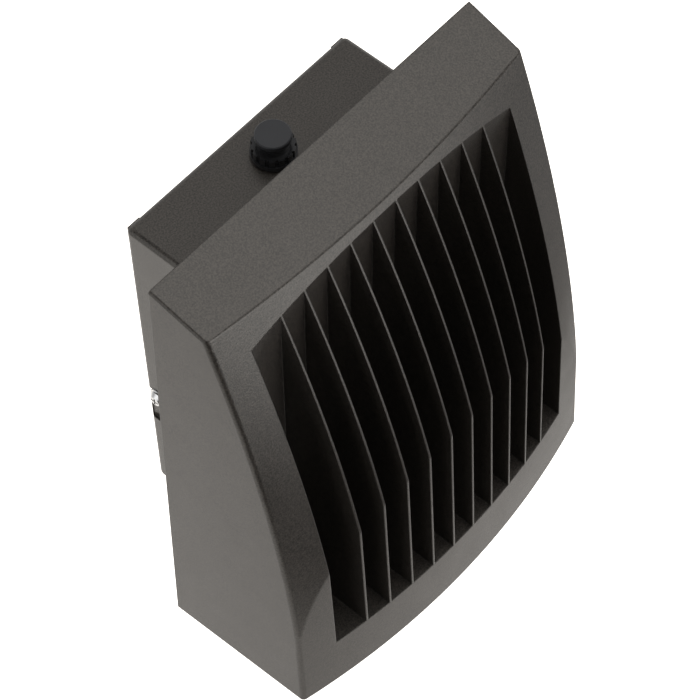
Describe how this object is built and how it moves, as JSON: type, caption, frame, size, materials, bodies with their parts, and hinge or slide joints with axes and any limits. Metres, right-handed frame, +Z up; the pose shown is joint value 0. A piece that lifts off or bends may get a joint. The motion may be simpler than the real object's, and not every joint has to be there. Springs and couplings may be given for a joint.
{
  "type": "wall pack light",
  "caption": "Outdoor wall pack light: bronze box on a wall plate, sloped finned head lit from below, photocell on top.",
  "frame": {"origin": "centre of the wall plate's rear face, in the wall plane, midway between the two slots for a round junction box", "axes": "+Z up, +X to the right seen from the front, the front looks along -Y, the wall is the plane Y = 0"},
  "size_m": [0.2664, 0.174, 0.336],
  "materials": {
    "bronze_powder_coat": "die-cast aluminium with a dark bronze fine-textured powder coat",
    "zinc_steel": "zinc-plated sheet steel",
    "chrome": "bright chrome-plated steel",
    "stainless": "plain stainless steel",
    "green_screw": "green-passivated steel",
    "silicone_rubber": "grey silicone rubber, matt",
    "black_rubber": "black rubber, matt",
    "driver_white": "white painted sheet steel",
    "surge_grey": "grey moulded plastic",
    "clear_orange": "clear orange moulded plastic",
    "red_insulation": "red insulation",
    "black_insulation": "black insulation",
    "white_insulation": "white insulation",
    "pad_grey": "soft grey heat-conducting sheet",
    "board_white": "white solder mask on an aluminium-core board",
    "led_yellow": "yellow phosphor",
    "clear_acrylic": "clear acrylic, moulded domes",
    "clear_polycarbonate": "clear polycarbonate, smooth",
    "black_plastic": "black glossy moulded plastic",
    "photocell_cap_plastic": "dark blue-grey matt translucent plastic"
  },
  "bodies": {
    "wall_bracket": {"wall_plate": "zinc_steel", "hanger_hooks": "zinc_steel", "screw_brackets": "zinc_steel", "ground_screw": "green_screw"},
    "luminaire": {"hanger_rod": "zinc_steel", "back_box": "bronze_powder_coat", "box_seal": "silicone_rubber", "box_screws": "stainless", "front_housing": "bronze_powder_coat", "rear_cover": "bronze_powder_coat", "rear_cover_gasket": "silicone_rubber", "rear_cover_screws": "stainless", "cable_grommet": "black_rubber", "driver_case": "driver_white", "driver_lid": "driver_white", "driver_screws": "stainless", "surge_protector": "surge_grey", "splice_connectors": "clear_orange", "led_lead_positive": "red_insulation", "led_lead_negative": "black_insulation", "driver_lead_line": "black_insulation", "driver_lead_neutral": "white_insulation", "photocell_lead_line": "black_insulation", "photocell_lead_load": "red_insulation", "thermal_pad": "pad_grey", "led_board": "board_white", "led_chips": "led_yellow", "led_optics": "clear_acrylic", "led_board_screws": "stainless", "lens": "clear_polycarbonate", "lens_gasket": "silicone_rubber", "lens_frame": "bronze_powder_coat", "lens_frame_screws": "stainless", "photocell_body": "black_plastic", "photocell_cap": "photocell_cap_plastic", "photocell_lock_ring": "black_plastic", "photocell_gasket": "black_rubber", "photocell_locknut": "black_plastic", "conduit_plug": "bronze_powder_coat", "conduit_plug_ring": "black_rubber"},
    "closing_screw_left": {"side_screw_left": "chrome", "side_washer_left": "chrome"},
    "closing_screw_right": {"side_screw_right": "chrome", "side_washer_right": "chrome"}
  },
  "joints": [
    {"name": "luminaire_swing", "type": "hinge", "parent": "wall_bracket", "child": "luminaire", "pos_m": [0, -0.005, 0.125], "axis": [-1, 0, 0], "range_deg": [0, 45]},
    {"name": "closing_screw_left_slide", "type": "slide", "parent": "wall_bracket", "child": "closing_screw_left", "axis": [-1, 0, 0], "range_m": [0, 0.006]},
    {"name": "closing_screw_right_slide", "type": "slide", "parent": "wall_bracket", "child": "closing_screw_right", "axis": [1, 0, 0], "range_m": [0, 0.006]}
  ]
}
